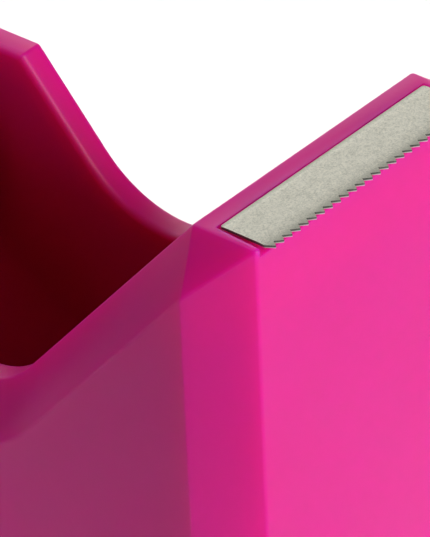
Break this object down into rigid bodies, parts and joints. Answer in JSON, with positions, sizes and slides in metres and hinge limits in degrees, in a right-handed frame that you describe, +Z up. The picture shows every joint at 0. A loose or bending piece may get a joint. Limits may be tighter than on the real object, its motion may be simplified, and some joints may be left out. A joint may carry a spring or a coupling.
{
  "type": "tape dispenser",
  "caption": "Weighted desk tape dispenser: a faceted shell with an open tape well, a toothed steel cutter and a lift-out core on an axle.",
  "frame": {"origin": "under the middle of the object, on the surface it stands on", "axes": "+X to the right seen from the front, -Y towards the cutter and the user, +Z up"},
  "size_m": [0.0432, 0.115, 0.0636],
  "materials": {
    "shell": "fine satin magenta plastic",
    "blade": "dull zinc plate, finely mottled",
    "hub": "satin magenta plastic, as the shell",
    "steel": "bright turned steel",
    "base": "black plastic, lightly textured",
    "ballast": "rough as cast",
    "foot": "matte black rubber"
  },
  "bodies": {
    "root": {"body_shell": "shell", "cutter_blade": "blade", "base_plate": "base", "front_ballast": "ballast", "back_ballast": "ballast", "base_screw_1": "steel", "base_screw_2": "steel", "base_screw_3": "steel", "base_screw_4": "steel", "ballast_screw_1": "steel", "ballast_screw_2": "steel", "ballast_screw_3": "steel", "ballast_screw_4": "steel", "foot_1": "foot", "foot_2": "foot", "foot_3": "foot", "foot_4": "foot"},
    "axle": {"hub_axle": "steel", "axle_collar_left": "hub", "axle_collar_right": "hub"},
    "hub": {"hub_left": "hub", "hub_right": "hub"}
  },
  "joints": [
    {"name": "hub_lift", "type": "slide", "parent": "root", "child": "axle", "axis": [0, 0, 1], "range_m": [0, 0.022]},
    {"name": "hub_spin", "type": "hinge", "parent": "axle", "child": "hub", "pos_m": [0, 0.01862, 0.032], "axis": [1, 0, 0], "continuous": true}
  ]
}
